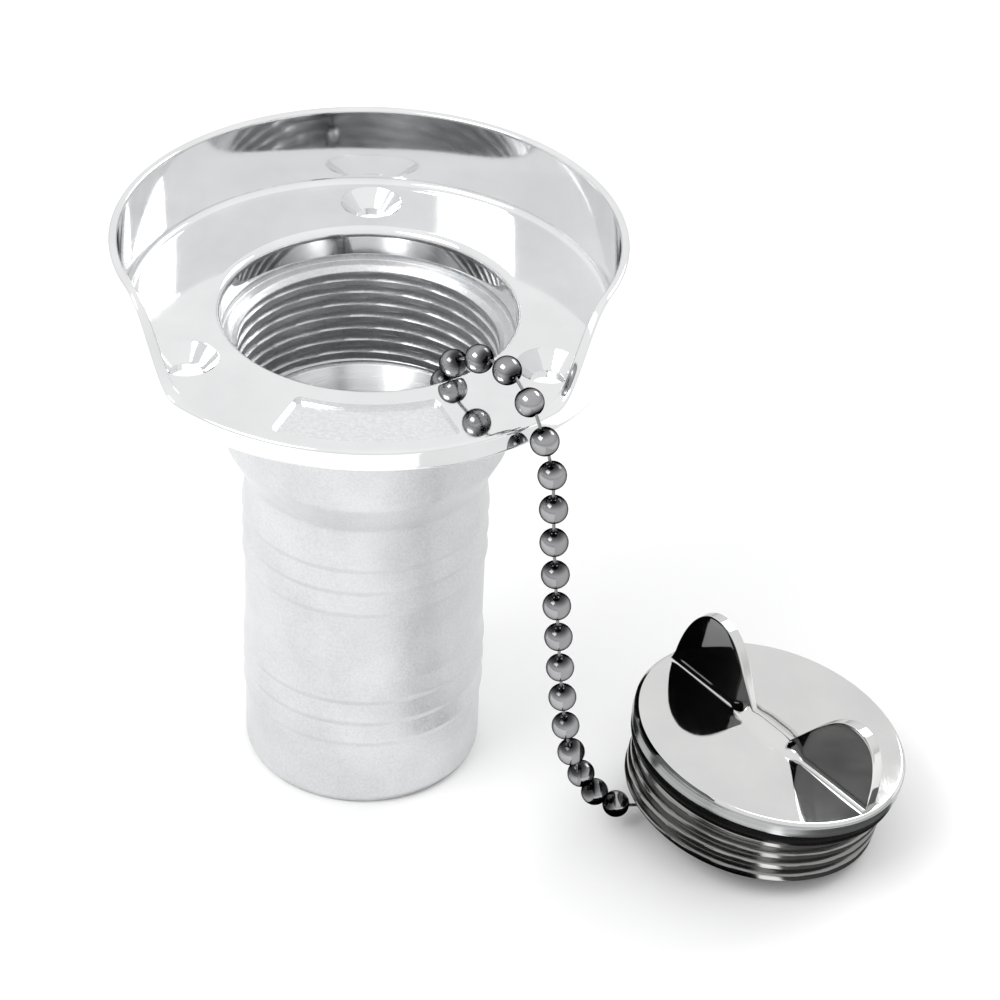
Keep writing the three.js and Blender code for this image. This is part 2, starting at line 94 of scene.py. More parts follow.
def corner_arc(corner, back, on, radius, steps):
    """Points of the arc that rounds a corner between the directions back and on."""
    if radius == 0:
        return [corner]
    back = back.normalized()
    on = on.normalized()
    half = back.angle(on) / 2
    centre = corner + (back + on).normalized() * radius / math.sin(half)
    start = corner + back * radius / math.tan(half) - centre
    end = corner + on * radius / math.tan(half) - centre
    first = math.atan2(start.y, start.x)
    sweep = (math.atan2(end.y, end.x) - first + math.pi) % math.tau - math.pi
    turns = [first + sweep * k / steps for k in range(steps + 1)]
    return [centre + Vector((math.cos(a), math.sin(a))) * radius for a in turns]


def rounded_outline(corners, closed=True):
    """Corners as (across, up, radius, steps) become the points of a rounded outline."""
    arcs = []
    for i, (across, up, radius, steps) in enumerate(corners):
        corner = Vector((across, up))
        back = Vector(corners[i - 1][:2]) - corner
        on = Vector(corners[(i + 1) % len(corners)][:2]) - corner
        arcs.append(corner_arc(corner, back, on, radius, steps))
    points = []
    for i, arc in enumerate(arcs):
        points += arc
        if i == len(arcs) - 1 and not closed:
            break
        onward = arcs[(i + 1) % len(arcs)][0] - arc[-1]
        inset = min(SUPPORT / max(onward.length, 1e-6), 1 / 3)
        points += [arc[-1] + onward * inset, arc[-1] + onward * (1 - inset)]
    return points


def with_rows(points, low, high, across, step):
    """Adds a row at each step on the straight run at one distance across, between two heights."""
    rows = []
    for point, following in zip(points, points[1:] + points[:1]):
        rows.append(point)
        on_run = abs(point.x - across) < 0.01 and abs(following.x - across) < 0.01
        inside = min(point.y, following.y) >= low and max(point.y, following.y) <= high
        if on_run and inside:
            count = int(abs(following.y - point.y) / step)
            rows += [point.lerp(following, k / (count + 1)) for k in range(1, count + 1)]
    return rows


# %% Swinging an outline round its axis
MERGE = 0.012  # mm, under which two corners of a mesh become one


def new_object(name, mesh):
    piece = bpy.data.objects.new(name, mesh)
    bpy.context.scene.collection.objects.link(piece)
    return piece


def turned(name, outline_at, angles, closed=True):
    """Swings outlines, one for each angle in degrees, round Z into one closed mesh."""
    bm = bmesh.new()
    columns = []
    for angle in angles:
        a = math.radians(angle)
        outline = outline_at(angle)
        columns.append([bm.verts.new((p.x * math.cos(a), p.x * math.sin(a), p.y)) for p in outline])
    count = len(columns[0])
    for here, there in zip(columns, columns[1:] + columns[:1]):
        for j in range(count if closed else count - 1):
            k = (j + 1) % count
            bm.faces.new((here[j], there[j], there[k], here[k]))
    bmesh.ops.remove_doubles(bm, verts=bm.verts, dist=MERGE)
    mesh = bpy.data.meshes.new(name)
    bm.to_mesh(mesh)
    bm.free()
    return new_object(name, mesh)


def even_angles(count):
    return [360 * k / count for k in range(count)]


def apply_modifiers(piece):
    """Replaces a piece's mesh by its evaluated one, and takes its modifiers off."""
    depsgraph = bpy.context.evaluated_depsgraph_get()
    mesh = bpy.data.meshes.new_from_object(piece.evaluated_get(depsgraph))
    piece.modifiers.clear()
    piece.data = mesh


def joined(piece, tool, operation):
    """Cuts a tool out of a piece (DIFFERENCE) or adds it (UNION), and uses the tool up."""
    modifier = piece.modifiers.new(operation, "BOOLEAN")
    modifier.operation = operation
    modifier.solver = "MANIFOLD"
    modifier.object = tool
    apply_modifiers(piece)
    bpy.data.objects.remove(tool)


SHARP = math.radians(32)


def shaded(piece, flat_heights=()):
    """Smooth shading, except over sharp edges and on the flats that lie at the given heights."""
    mesh = piece.data
    for polygon in mesh.polygons:
        level = abs(polygon.normal.z) > 0.9999
        on_flat = any(abs(polygon.center.z - z) < 0.01 for z in flat_heights)
        polygon.use_smooth = not (level and on_flat)
    mesh.set_sharp_from_angle(angle=SHARP)


def paint_by_face(piece, finishes, choose):
    piece.data.materials.clear()
    for finish in finishes:
        piece.data.materials.append(finish)
    for face in piece.data.polygons:
        face.material_index = choose(face)


def placed(piece, place, body, nodes):
    """Bakes a piece's place into its mesh, puts it under its body's empty and hides the imported nodes that
    it stands in for.
    """
    piece.data.transform(place)
    piece.data.update()
    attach(piece, body)
    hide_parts(*nodes)
    print(piece.name, "on", body, "with", len(piece.data.polygons), "faces")
    return piece


# %% [markdown]
# ## Helpers for node trees
#
# The same two small functions build geometry trees and shader trees: one makes a node and sets its
# inputs from numbers or from other sockets, and the other makes a Math node.

# %% Node helpers
def feed(tree, socket, value):
    if isinstance(value, bpy.types.NodeSocket):
        tree.links.new(value, socket)
    else:
        socket.default_value = value


def node(tree, kind, settings=None, **inputs):
    """Makes a node. Settings are its properties, and inputs are its sockets by name."""
    made = tree.nodes.new(kind)
    for key, value in (settings or {}).items():
        setattr(made, key, value)
    for key, value in inputs.items():
        feed(tree, made.inputs[key.replace("_", " ")], value)
    return made


def maths(tree, operation, *values):
    made = tree.nodes.new("ShaderNodeMath")
    made.operation = operation
    for socket, value in zip(made.inputs, values):
        feed(tree, socket, value)
    return made.outputs[0]


def ramp(tree, value, low, high, start, end, curve="LINEAR"):
    """Maps low..high to start..end, clamped."""
    made = node(tree, "ShaderNodeMapRange", {"interpolation_type": curve})
    for socket, number in zip(made.inputs, (value, low, high, start, end)):
        feed(tree, socket, number)
    return made.outputs[0]


# %% [markdown]
# ## Finishes
#
# The metal is one alloy with four finishes: polished on a buff above the deck, grainy where it was
# cast, ringed where a lathe tool passed, and plain on wire and screws. A flat grey would read as
# plastic. Polished metal is never perfectly even, so each finish mixes slow waves (the hand of the
# polisher) with fine marks, in roughness and in bump. The greys of the one alloy are painted light
# and shade: the deck and the bore are painted lighter, and the cap, its thread, its band and the
# beads darker. Specular Tint below 1 paints shade on the edges of the cap and the beads where they
# are seen at grazing angles, and each bead has painted shade near its two holes. Patterns read
# Object coordinates, which stay put in every view because each piece's object sits at the origin,
# and the beads' painted shade reads an attribute of the bead.

# %% A metal with waves and fine marks
def start_material(name, colour, metallic, roughness):
    material = bpy.data.materials.new(name)
    material.use_nodes = True
    tree = material.node_tree
    shader = tree.nodes["Principled BSDF"]
    shader.inputs["Base Color"].default_value = (*colour, 1)
    shader.inputs["Metallic"].default_value = metallic
    shader.inputs["Roughness"].default_value = roughness
    place = node(tree, "ShaderNodeTexCoord").outputs["Object"]
    return material, tree, shader, place


def noise(tree, place, scale, detail=2.0):
    made = node(tree, "ShaderNodeTexNoise", Vector=place, Scale=scale, Detail=detail)
    return made.outputs["Fac"]


def bump(tree, shader, height, distance, after=None):
    """Adds a bump whose height is in mm at full strength, on top of an earlier one."""
    made = node(tree, "ShaderNodeBump", Height=height, Distance=distance * MM)
    if after:
        tree.links.new(after, made.inputs["Normal"])
    tree.links.new(made.outputs[0], shader.inputs["Normal"])
    return made.outputs[0]


def tinted(tree, shader, value, dark, light):
    """Lets a 0..1 pattern move the base colour between two greys."""
    mix = node(tree, "ShaderNodeMix", {"data_type": "RGBA"})
    feed(tree, mix.inputs[0], value)
    mix.inputs[6].default_value = (*dark, 1)
    mix.inputs[7].default_value = (*light, 1)
    tree.links.new(mix.outputs[2], shader.inputs["Base Color"])


def polished_metal(name, dark, light, low, high, wave, scratch_scale, edge=1.0):
    """Buffed metal: slow waves, faint smears in the gloss, hairlines, and full edges, or edges darkened as
    painted shade when edge is below 1.
    """
    material, tree, shader, place = start_material(name, light, 1, low)
    # An edge below 1 paints shade on the edges seen at grazing angles.
    shader.inputs["Specular Tint"].default_value = (edge, edge, edge, 1)
    smear = noise(tree, place, 90, 4)
    tinted(tree, shader, ramp(tree, smear, 0.3, 0.7, 0, 1), dark, light)
    stretched = node(tree, "ShaderNodeMapping", Vector=place, Scale=(1, 0.06, 1),
                     Rotation=(0, 0, 0.6)).outputs[0]
    hairline = noise(tree, stretched, scratch_scale, 3)
    gloss = maths(tree, "ADD", maths(tree, "MULTIPLY", smear, 0.6), maths(tree, "MULTIPLY", hairline, 0.4))
    tree.links.new(ramp(tree, gloss, 0.35, 0.65, low, high), shader.inputs["Roughness"])
    bump(tree, shader, noise(tree, place, 70, 1), wave)
    return material


# Painted light and shade on one polished steel: the deck is painted lighter and the cap darker, and the cap's
# edge of 0.6 paints a darker grazing edge.
DECK_POLISH = polished_metal(
    "deck_mirror_polish", (0.80, 0.805, 0.81), (0.87, 0.875, 0.88), 0.03, 0.10, 0.05, 2600)
CAP_POLISH = polished_metal(
    "cap_mirror_polish", (0.68, 0.685, 0.68), (0.735, 0.74, 0.73), 0.02, 0.08, 0.02, 2600, 0.6)


def bead_metal(name):
    """Polished metal painted darker as shade, with more painted shade near each end hole, by the bead's own
    attribute near_hole.
    """
    # The bead's greys are painted shade, and an edge of 0.0 paints its grazing edges dark as a painted
    # outline.
    material = polished_metal(name, (0.30, 0.30, 0.31), (0.46, 0.46, 0.47), 0.08, 0.18, 0.01, 5000, 0.0)
    tree = material.node_tree
    shader = tree.nodes["Principled BSDF"]
    unshaded_colour = shader.inputs["Base Color"].links[0].from_socket
    # near_hole mixes in painted shade towards both end holes, where the bead meets its links and neighbours.
    near_hole = node(tree, "ShaderNodeAttribute", {"attribute_name": "near_hole"}).outputs["Fac"]
    mix = node(tree, "ShaderNodeMix", {"data_type": "RGBA"})
    feed(tree, mix.inputs[0], ramp(tree, near_hole, 0.45, 0.92, 0, 1, "SMOOTHSTEP"))
    feed(tree, mix.inputs[6], unshaded_colour)
    mix.inputs[7].default_value = (0.04, 0.04, 0.042, 1)
    feed(tree, shader.inputs["Base Color"], mix.outputs[2])
    return material


BEAD_CHROME = bead_metal("bead_chrome")
print("polished finishes", DECK_POLISH.name, CAP_POLISH.name, BEAD_CHROME.name)

# %% [markdown]
# The neck was never machined. It keeps the skin of the mould: a matt grain of fine pits about a third
# of a millimetre wide, with broader cloudy patches. Two sizes of noise make the grain and the
# patches, and a mix of the two moves the colour a little.


# %% As-cast skin
def cast_skin(name):
    material, tree, shader, place = start_material(name, (0.8, 0.81, 0.81), 1, 0.4)
    grain = noise(tree, place, 2400, 3)
    clouds = noise(tree, place, 120, 3)
    tone = maths(tree, "ADD", maths(tree, "MULTIPLY", grain, 0.6), maths(tree, "MULTIPLY", clouds, 0.4))
    tinted(tree, shader, ramp(tree, tone, 0.35, 0.65, 0, 1), (0.60, 0.61, 0.62), (0.74, 0.745, 0.75))
    tree.links.new(ramp(tree, grain, 0.3, 0.7, 0.30, 0.50), shader.inputs["Roughness"])
    pits = bump(tree, shader, grain, 0.06)
    bump(tree, shader, clouds, 0.12, pits)
    return material


CAST_SKIN = cast_skin("cast_skin")
print("cast finish", CAST_SKIN.name)

# %% [markdown]
# A lathe leaves rings. On a turned face they are circles about the axis, and on a turned bore they
# are stacked along it, so the pattern is a noise read only by distance from the axis and by height.
# A Mapping node first brings Object coordinates into the turned piece's own upright frame.


# %% Lathe-turned finish
def turned_metal(name, dark, light, low, high, place_matrix, ring_scale=9000):
    material, tree, shader, place = start_material(name, light, 1, low)
    own = node(tree, "ShaderNodeMapping", {"vector_type": "TEXTURE"}, Vector=place,
               Location=place_matrix.to_translation(), Rotation=place_matrix.to_euler()).outputs[0]
    split = node(tree, "ShaderNodeSeparateXYZ", Vector=own)
    across = maths(tree, "SQRT", maths(
        tree, "ADD", maths(tree, "POWER", split.outputs[0], 2), maths(tree, "POWER", split.outputs[1], 2)))
    rings_at = node(tree, "ShaderNodeCombineXYZ", X=across, Z=split.outputs[2]).outputs[0]
    rings = noise(tree, rings_at, ring_scale, 2)
    bands = noise(tree, rings_at, ring_scale / 8, 2)
    tinted(tree, shader, ramp(tree, bands, 0.3, 0.7, 0, 1), dark, light)
    tree.links.new(ramp(tree, rings, 0.3, 0.7, low, high), shader.inputs["Roughness"])
    coarse = bump(tree, shader, bands, 0.012)
    bump(tree, shader, rings, 0.004, coarse)
    return material


# Painted light and shade on one turned steel: the bore is painted nearly white, as painted light in place of
# the shade deep inside it, and the cap's thread and band are painted dark, as painted shade and dark
# reflections.
BORE_TURNED = turned_metal(
    "turned_bore", (0.90, 0.905, 0.91), (0.96, 0.965, 0.97), 0.14, 0.30, FILLER_PLACE)
CAP_TURNED = turned_metal(
    "turned_thread", (0.22, 0.22, 0.22), (0.38, 0.38, 0.37), 0.12, 0.26, CAP_PLACE)
CAP_BAND = turned_metal(
    "turned_band", (0.36, 0.37, 0.37), (0.47, 0.48, 0.48), 0.14, 0.26, CAP_PLACE)
print("turned finishes", BORE_TURNED.name, CAP_TURNED.name, CAP_BAND.name)

# %% [markdown]
# The last finishes are small: the peened floor of the name panel, drawn wire for the links, plain
# screw metal, and black rubber. Rubber shows a soft sheen and dust-fine speckle, not a mirror.


# %% Panel floor, wire, screw metal and rubber
def plain_metal(name, dark, light, low, high, grain_scale, depth):
    material, tree, shader, place = start_material(name, light, 1, low)
    grain = noise(tree, place, grain_scale, 3)
    tinted(tree, shader, ramp(tree, grain, 0.3, 0.7, 0, 1), dark, light)
    tree.links.new(ramp(tree, grain, 0.3, 0.7, low, high), shader.inputs["Roughness"])
    bump(tree, shader, grain, depth)
    return material


def rubber(name):
    material, tree, shader, place = start_material(name, (0.012, 0.012, 0.013), 0, 0.3)
    speckle = noise(tree, place, 5000, 3)
    tinted(tree, shader, ramp(tree, speckle, 0.45, 0.75, 0, 1), (0.002, 0.002, 0.002), (0.008, 0.008, 0.008))
    tree.links.new(ramp(tree, speckle, 0.3, 0.7, 0.16, 0.30), shader.inputs["Roughness"])
    shader.inputs["Specular IOR Level"].default_value = 0.1
    bump(tree, shader, speckle, 0.01)
    return material


PANEL_FLOOR = plain_metal("peened_panel", (0.76, 0.77, 0.78), (0.88, 0.885, 0.89), 0.16, 0.3, 1500, 0.05)
LINK_WIRE = plain_metal("link_wire", (0.20, 0.20, 0.20), (0.32, 0.32, 0.33), 0.2, 0.34, 4000, 0.01)
SCREW_METAL = plain_metal("screw_metal", (0.55, 0.56, 0.57), (0.72, 0.73, 0.74), 0.18, 0.32, 3000, 0.01)
RUBBER = rubber("seal_rubber")
print("small finishes", PANEL_FLOOR.name, LINK_WIRE.name, SCREW_METAL.name, RUBBER.name)

# %% [markdown]
# ## A tree that cuts a screw thread
#
# A thread is a groove that climbs one pitch in each turn. It could be a swept profile joined by a
# boolean, but that leaves slivers where it meets the bore. It is simpler to give the bore many rows
# and let Geometry Nodes move each point in or out: the depth depends only on height / pitch minus
# the turn that the point is at. The groove fades out at both ends of the thread, as a tap leaves it.


# %% The thread tree
def start_tree(name, inputs):
    tree = bpy.data.node_groups.new(name, "GeometryNodeTree")
    tree.interface.new_socket("Geometry", in_out="OUTPUT", socket_type="NodeSocketGeometry")
    for label, kind in inputs:
        tree.interface.new_socket(label, in_out="INPUT", socket_type=kind)
    given = tree.nodes.new("NodeGroupInput")
    return tree, given.outputs


def end_tree(tree, geometry, finish):
    """Realize Instances, then the finish, then the output."""
    real = node(tree, "GeometryNodeRealizeInstances", Geometry=geometry)
    painted = node(tree, "GeometryNodeSetMaterial", Geometry=real.outputs[0], Material=finish)
    result = tree.nodes.new("NodeGroupOutput")
    tree.links.new(painted.outputs[0], result.inputs[0])


def thread_tree():
    tree, given = start_tree("screw_thread", [
        ("Blank", "NodeSocketGeometry"), ("Radius", "NodeSocketFloat"), ("Pitch", "NodeSocketFloat"),
        ("Depth", "NodeSocketFloat"), ("Land", "NodeSocketFloat"), ("Bottom", "NodeSocketFloat"),
        ("Top", "NodeSocketFloat"), ("Fade", "NodeSocketFloat"), ("Finish", "NodeSocketMaterial")])
    position = tree.nodes.new("GeometryNodeInputPosition").outputs[0]
    split = node(tree, "ShaderNodeSeparateXYZ", Vector=position).outputs
    flat = node(tree, "ShaderNodeCombineXYZ", X=split[0], Y=split[1]).outputs[0]
    outward = node(tree, "ShaderNodeVectorMath", {"operation": "NORMALIZE"})
    distance = node(tree, "ShaderNodeVectorMath", {"operation": "LENGTH"})
    feed(tree, outward.inputs[0], flat)
    feed(tree, distance.inputs[0], flat)
    turn = maths(tree, "DIVIDE", maths(tree, "ARCTAN2", split[1], split[0]), math.tau)
    climbed = maths(tree, "SUBTRACT", maths(tree, "DIVIDE", split[2], given["Pitch"]), turn)
    across_groove = maths(tree, "PINGPONG", climbed, 0.5)
    groove = ramp(tree, across_groove, maths(tree, "MULTIPLY", given["Land"], 0.5), 0.5, 0, 1, "SMOOTHSTEP")
    fade_in = ramp(tree, split[2], given["Bottom"], maths(tree, "ADD", given["Bottom"], given["Fade"]), 0, 1)
    fade_out = ramp(tree, split[2], maths(tree, "SUBTRACT", given["Top"], given["Fade"]), given["Top"], 1, 0)
    amount = maths(tree, "MULTIPLY", maths(tree, "MULTIPLY", groove, fade_in), fade_out)
    push = node(tree, "ShaderNodeVectorMath", {"operation": "SCALE"}, Scale=maths(
        tree, "MULTIPLY", amount, given["Depth"]))
    feed(tree, push.inputs[0], outward.outputs[0])
    on_wall = maths(tree, "COMPARE", distance.outputs["Value"], given["Radius"], 0.01)
    moved = node(tree, "GeometryNodeSetPosition", Geometry=given["Blank"], Selection=on_wall,
                 Offset=push.outputs[0])
    end_tree(tree, moved.outputs[0], given["Finish"])
    return tree


THREAD_TREE = thread_tree()


def run_tree(piece, tree, **settings):
    """Runs a geometry tree on a piece with named settings, and keeps the result as a plain mesh."""
    modifier = piece.modifiers.new(tree.name, "NODES")
    modifier.node_group = tree
    for item in tree.interface.items_tree:
        key = item.name.replace(" ", "_")
        if item.in_out == "INPUT" and key in settings:
            modifier[item.identifier] = settings[key]
    apply_modifiers(piece)


print("thread tree has", len(THREAD_TREE.nodes), "nodes")

# %% [markdown]
# ## The filler body
#
# One casting: hose neck, hub, deck plate and splash rim, with a threaded bore through all of it. It
# is turned as a whole, with an outline that changes with the angle, because the rim stands 13 mm
# high round the back and sweeps down to nothing at the front. The ridges on the neck have a sharp
# lower line and a soft swelling above it, so that a hose slides on easily and doesn't slide off. The
# plate's edge at the bore is well rounded, because the chain bends over it.

# %% Sizes of the filler
DECK_Z = 85.5
FLANGE_R = 40
FLANGE_THICKNESS = 3.8
RIM_HEIGHT = 13.4
RIM_INNER_FOOT_R = 38
RIM_INNER_TOP_R = 38.6
RIM_OPEN_X = 28
RIM_FULL_X = 36.7
HUB_R = 23
HUB_STRAIGHT_Z = 62.5
HUB_CONE_Z = 56.1
NECK_R = 19.8
NECK_BORE_R = 17.5
RIDGE_HEIGHT = 0.4
RIDGE_LENGTH = 4.4
RIDGE_GROUP_TOPS = [25.5, 52.3]
FOOT_CHAMFER = 1.2
SEAT_R = 23.1
SEAT_DEPTH = 5.7
BORE_LIP_ROUNDING = 1.3
THREAD_PITCH = 2.309
THREAD_MINOR_R = 20.6
THREAD_DEPTH = 1.15
THREAD_END_Z = 61.5
BORE_CONE_Z = 56.5
FLANGE_UNDER_Z = DECK_Z - FLANGE_THICKNESS
SEAT_Z = DECK_Z - SEAT_DEPTH


# %% The filler's outline at one angle
def rim_height(angle):
    """Height of the splash rim: nothing in front, an S-shaped climb at each side, full behind."""
    from_front = abs((angle + 90 + 180) % 360 - 180)
    if from_front >= 90:
        return RIM_HEIGHT
    sideways = FLANGE_R * math.sin(math.radians(from_front))
    t = min(max((sideways - RIM_OPEN_X) / (RIM_FULL_X - RIM_OPEN_X), 0), 1)
    return RIM_HEIGHT * t * t * t * (t * (6 * t - 15) + 10)


def neck_corners():
    corners = []
    for top in RIDGE_GROUP_TOPS:
        for k in (3, 2, 1):
            foot = top - k * RIDGE_LENGTH
            corners.append((NECK_R, foot, 0.12, 2))
            corners.append((NECK_R + RIDGE_HEIGHT, foot + RIDGE_LENGTH * 0.25, 0.9, 4))
        corners.append((NECK_R, top, 0.5, 2))
    return corners


def filler_outline(angle):
    height = max(rim_height(angle), 0.01)
    top = DECK_Z + height
    lean = (RIM_INNER_TOP_R - RIM_INNER_FOOT_R) * height / RIM_HEIGHT
    corners = [
        (NECK_BORE_R, 0, 0.4, 3),
        (NECK_R - FOOT_CHAMFER / 2, 0, 0.3, 3),
        (NECK_R, FOOT_CHAMFER, 0.5, 3),
        *neck_corners(),
        (NECK_R, HUB_CONE_Z, 2.5, 5),
        (HUB_R, HUB_STRAIGHT_Z, 3, 6),
        (HUB_R, FLANGE_UNDER_Z, 1.2, 6),
        (FLANGE_R, FLANGE_UNDER_Z, 0.9, 6),
        (FLANGE_R, top, 0.55, 6),
        (RIM_INNER_FOOT_R + lean, top, min(0.5, height * 0.4), 6),
        (RIM_INNER_FOOT_R, DECK_Z, min(1.3, height * 0.5), 8),
        (SEAT_R, DECK_Z, BORE_LIP_ROUNDING, 7),
        (SEAT_R, SEAT_Z, 0.3, 3),
        (THREAD_MINOR_R + 0.8, SEAT_Z, 0.15, 2),
        (THREAD_MINOR_R, SEAT_Z - 0.8, 0.3, 3),
        (THREAD_MINOR_R, THREAD_END_Z, 0.6, 3),
        (NECK_BORE_R, BORE_CONE_Z, 1.5, 4),
    ]
    points = rounded_outline(corners)
    return with_rows(points, THREAD_END_Z, SEAT_Z, THREAD_MINOR_R, 0.16)


# %% Turn the casting and cut its thread
def filler_angles():
    """Two degrees apart, and closer where the rim sweeps down."""
    coarse = [angle for angle in range(0, 360, 2) if abs(abs((angle + 270) % 360 - 180) - 57) > 15]
    fine = [side + k * 0.6 for side in (-90 - 72, -90 + 42) for k in range(51)]
    return sorted(set(round(angle % 360, 3) for angle in coarse + fine))


filler = turned("deck_filler", filler_outline, filler_angles())
run_tree(filler, THREAD_TREE, Radius=THREAD_MINOR_R, Pitch=THREAD_PITCH, Depth=THREAD_DEPTH, Land=0.42,
         Bottom=THREAD_END_Z + 0.3, Top=SEAT_Z - 0.6, Fade=0.9, Finish=DECK_POLISH)
print("filler turned:", len(filler.data.vertices), "corners")

# %% [markdown]
# Three countersunk screw holes, the shallow name panel (left blank) and the blind hole for the
# anchor's screw are cut out of the casting. The tools are turned or drawn the same way, and each
# reaches well past the surface so that the cut is clean.

# %% Cut the holes and the panel
SCREW_CIRCLE_R = 31.7
SCREW_ANGLES = (90, 210, 330)
SCREW_HOLE_R = 2.5
COUNTERSINK_R = 5.1
PANEL_INNER_R = 27.6
PANEL_OUTER_R = 37.2
PANEL_HALF_ANGLE = 22.2
PANEL_DEPTH = 0.7
ANCHOR_ANGLE = -53
ANCHOR_Z = 53
ANCHOR_HOLE_R = 1.75
ANCHOR_HOLE_DEPTH = 1.6


def countersink(angle):
    throat = DECK_Z - (COUNTERSINK_R - SCREW_HOLE_R)
    outline = rounded_outline([
        (0, FLANGE_UNDER_Z - 2, 0, 0), (SCREW_HOLE_R, FLANGE_UNDER_Z - 2, 0, 0),
        (SCREW_HOLE_R, throat, 0.25, 3), (COUNTERSINK_R - 0.15, DECK_Z - 0.1, 0.3, 3),
        (COUNTERSINK_R + 0.15, DECK_Z + 0.4, 0, 0), (0, DECK_Z + 0.4, 0, 0)], closed=False)
    tool = turned("countersink_tool", lambda a: outline, even_angles(48), closed=False)
    a = math.radians(angle)
    tool.data.transform(Matrix.Translation((SCREW_CIRCLE_R * math.cos(a), SCREW_CIRCLE_R * math.sin(a), 0)))
    return tool


def panel_tool():
    """A sector of a ring with rounded corners, drawn as a ring's width by its length and then bent."""
    middle_r = (PANEL_INNER_R + PANEL_OUTER_R) / 2
    half = math.radians(PANEL_HALF_ANGLE) * middle_r
    outline = rounded_outline([
        (-half, PANEL_INNER_R, 0.9, 5), (half, PANEL_INNER_R, 0.9, 5),
        (half, PANEL_OUTER_R, 0.9, 5), (-half, PANEL_OUTER_R, 0.9, 5)])
    dense = []
    for point, following in zip(outline, outline[1:] + outline[:1]):
        count = max(int((following - point).length), 1)
        dense += [point.lerp(following, k / count) for k in range(count)]
    bm = bmesh.new()
    rings = []
    for grow, z in ((0, DECK_Z - PANEL_DEPTH), (0.25, DECK_Z + 1)):
        ring = []
        for p in dense:
            a = math.radians(-90) + p.x / middle_r
            r = p.y + math.copysign(grow, p.y - middle_r)
            ring.append(bm.verts.new((r * math.cos(a), r * math.sin(a), z)))
        rings.append(ring)
    low, high = rings
    for k in range(len(dense)):
        m = (k + 1) % len(dense)
        bm.faces.new((low[k], low[m], high[m], high[k]))
    bm.faces.new(low)
    bm.faces.new(high)
    bmesh.ops.recalc_face_normals(bm, faces=bm.faces)
    mesh = bpy.data.meshes.new("panel_tool")
    bm.to_mesh(mesh)
    bm.free()
    return new_object("panel_tool", mesh)


def anchor_place():
    """Takes a shape made along +Z and points it inwards from the neck's bore at the anchor."""
    a = math.radians(ANCHOR_ANGLE)
    inwards = Vector((-math.cos(a), -math.sin(a), 0))
    up = Vector((0, 0, 1))
    columns = Matrix((up, inwards.cross(up), inwards)).transposed().to_4x4()
    return Matrix.Translation(-inwards * NECK_BORE_R + up * ANCHOR_Z) @ columns


def anchor_hole():
    outline = [Vector(p) for p in ((0, -ANCHOR_HOLE_DEPTH), (ANCHOR_HOLE_R, -ANCHOR_HOLE_DEPTH),
                                   (ANCHOR_HOLE_R, 2), (0, 2))]
    tool = turned("anchor_hole_tool", lambda a: outline, even_angles(32), closed=False)
    tool.data.transform(anchor_place())
    return tool


for angle in SCREW_ANGLES:
    joined(filler, countersink(angle), "DIFFERENCE")
joined(filler, panel_tool(), "DIFFERENCE")
joined(filler, anchor_hole(), "DIFFERENCE")
print("filler cut:", len(filler.data.polygons), "faces")

# %% [markdown]
# The casting has four finishes on one surface. Each face gets the one for the place where it is:
# below the plate it is as cast, the threaded bore is turned, the panel floor is peened, and the
# rest is polished.

# %% Give each face of the filler its finish
FILLER_FINISHES = [DECK_POLISH, CAST_SKIN, BORE_TURNED, PANEL_FLOOR]


def filler_finish(face):
    across = math.hypot(face.center.x, face.center.y)
    if face.center.z < FLANGE_UNDER_Z and across > NECK_R - FOOT_CHAMFER / 2:
        return 1 if across < HUB_R + 1 else 0
    if across < SEAT_R + 0.02 and face.center.z < SEAT_Z - 0.01:
        return 2 if face.center.z > BORE_CONE_Z else 1
    at_panel_depth = abs(face.center.z - (DECK_Z - PANEL_DEPTH)) < 0.02
    if at_panel_depth and face.normal.z > 0.99 and across > PANEL_INNER_R - 1:
        return 3
    return 0


paint_by_face(filler, FILLER_FINISHES, filler_finish)
shaded(filler, (DECK_Z, DECK_Z - PANEL_DEPTH, FLANGE_UNDER_Z, SEAT_Z))
placed(filler, FILLER_PLACE, "filler", ["filler_body"])

# %% [markdown]
# ## The cap
#
# A shallow screwed cup with a flat polished top. Below the top are a plain turned band, a groove for
# the seal, and a coarse thread. Underneath, a boss in the middle takes the swivel's screw. It is
# turned with an open-ended outline that starts and ends on the axis, and the thread tree cuts it.

# %% Sizes of the cap
CAP_HEIGHT = 14.6
CAP_R = 23
CAP_DISC_THICKNESS = 2.6
CAP_BEVEL = 0.6
GROOVE_R = 19.5
GROOVE_HEIGHT = 2.9
CAP_THREAD_R = 21.5
CAP_BORE_R = 17.4
CAP_TOP_THICKNESS = 3.2
BOSS_R = 5
BOSS_HEIGHT = 4
SWIVEL_HOLE_R = 1.75
DISC_BOTTOM = CAP_HEIGHT - CAP_DISC_THICKNESS
GROOVE_BOTTOM = DISC_BOTTOM - GROOVE_HEIGHT
CEILING = CAP_HEIGHT - CAP_TOP_THICKNESS
BOSS_END = CEILING - BOSS_HEIGHT


